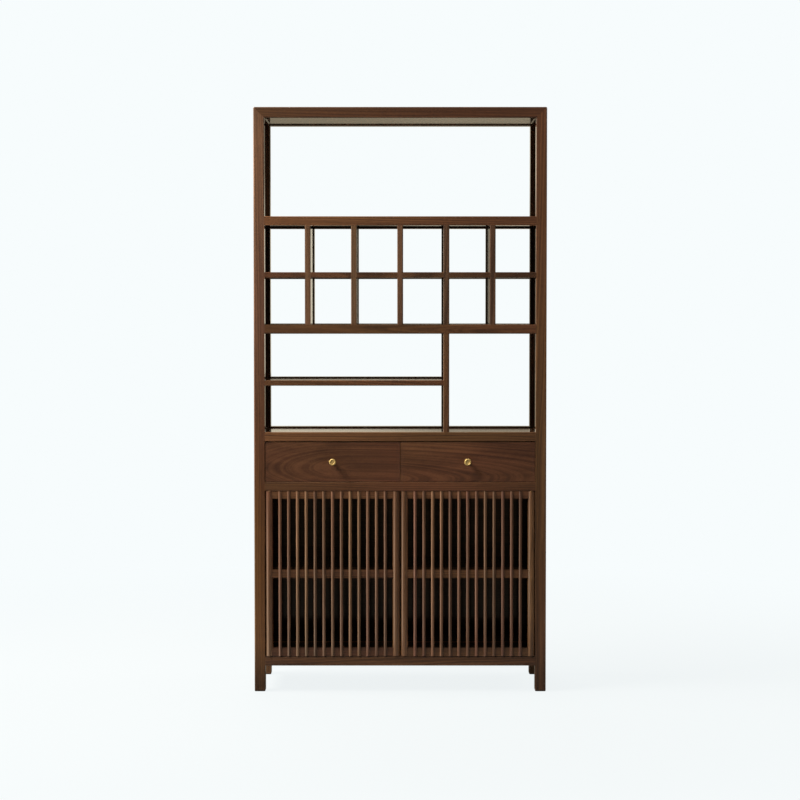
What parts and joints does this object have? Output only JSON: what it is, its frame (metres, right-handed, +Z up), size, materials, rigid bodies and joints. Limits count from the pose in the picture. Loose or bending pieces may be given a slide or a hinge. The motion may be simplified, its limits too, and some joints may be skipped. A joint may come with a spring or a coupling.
{
  "type": "book cabinet",
  "caption": "Tall open bookcase cabinet in frame and panel wood, with a grid of small cells, open bays, inset drawers with round knobs and slatted pivot doors below.",
  "frame": {"origin": "on the floor, at the middle of the space that the cabinet and its drawer knobs take up", "axes": "+Z up, +Y to the back, +X to the right as seen from the front"},
  "size_m": [1, 0.372, 2],
  "materials": {
    "walnut_frame": "dark walnut posts and rails with a satin lacquer",
    "walnut_panel": "dark walnut panels with a satin lacquer",
    "drawer_wood": "pale unstained wood, planed",
    "brass": "satin turned brass",
    "plate_steel": "brushed",
    "catch_plastic": "matt"
  },
  "bodies": {
    "carcass": {"back_panel": "walnut_panel", "bottom_front_rail": "walnut_frame", "bottom_panel": "walnut_panel", "bottom_rear_rail": "walnut_frame", "drawer_front_rail": "walnut_frame", "drawer_partition": "drawer_wood", "drawer_rear_rail": "walnut_frame", "drawer_runners": "drawer_wood", "front_left_post": "walnut_frame", "front_right_post": "walnut_frame", "grid_divider_1": "walnut_frame", "grid_divider_2": "walnut_frame", "grid_divider_3": "walnut_frame", "grid_divider_4": "walnut_frame", "grid_divider_5": "walnut_frame", "grid_shelf": "walnut_frame", "half_shelf": "walnut_frame", "inner_shelf": "walnut_panel", "left_side_panels": "walnut_panel", "left_side_rails": "walnut_frame", "lower_divider": "walnut_frame", "lower_shelf_front_rail": "walnut_frame", "lower_shelf_panel": "walnut_panel", "lower_shelf_rear_rail": "walnut_frame", "magnetic_catches": "catch_plastic", "middle_shelf_front_rail": "walnut_frame", "middle_shelf_panel": "walnut_panel", "middle_shelf_rear_rail": "walnut_frame", "pivot_bushes": "brass", "rear_left_post": "walnut_frame", "rear_right_post": "walnut_frame", "right_side_panels": "walnut_panel", "right_side_rails": "walnut_frame", "shelf_bearers": "walnut_frame", "top_front_rail": "walnut_frame", "top_panel": "walnut_panel", "top_rear_rail": "walnut_frame", "upper_shelf_front_rail": "walnut_frame", "upper_shelf_panel": "walnut_panel", "upper_shelf_rear_rail": "walnut_frame"},
    "left_drawer": {"left_drawer_bottom": "drawer_wood", "left_drawer_box": "drawer_wood", "left_drawer_front": "walnut_frame", "left_drawer_knob": "brass"},
    "right_drawer": {"right_drawer_bottom": "drawer_wood", "right_drawer_box": "drawer_wood", "right_drawer_front": "walnut_frame", "right_drawer_knob": "brass"},
    "left_door": {"left_door_catch_plate": "plate_steel", "left_door_hinge_stile": "walnut_frame", "left_door_meeting_stile": "walnut_frame", "left_door_pivots": "brass", "left_door_rails": "walnut_frame", "left_door_slats": "walnut_frame"},
    "right_door": {"right_door_catch_plate": "plate_steel", "right_door_hinge_stile": "walnut_frame", "right_door_meeting_stile": "walnut_frame", "right_door_pivots": "brass", "right_door_rails": "walnut_frame", "right_door_slats": "walnut_frame"}
  },
  "joints": [
    {"name": "left_drawer_slide", "type": "slide", "parent": "carcass", "child": "left_drawer", "axis": [0, -1, 0], "range_m": [0, 0.24]},
    {"name": "right_drawer_slide", "type": "slide", "parent": "carcass", "child": "right_drawer", "axis": [0, -1, 0], "range_m": [0, 0.24]},
    {"name": "left_door_hinge", "type": "hinge", "parent": "carcass", "child": "left_door", "pos_m": [-0.449, -0.1545, 0.406], "axis": [0, 0, -1], "range_deg": [0, 110]},
    {"name": "right_door_hinge", "type": "hinge", "parent": "carcass", "child": "right_door", "pos_m": [0.449, -0.1545, 0.406], "axis": [0, 0, 1], "range_deg": [0, 110]}
  ]
}
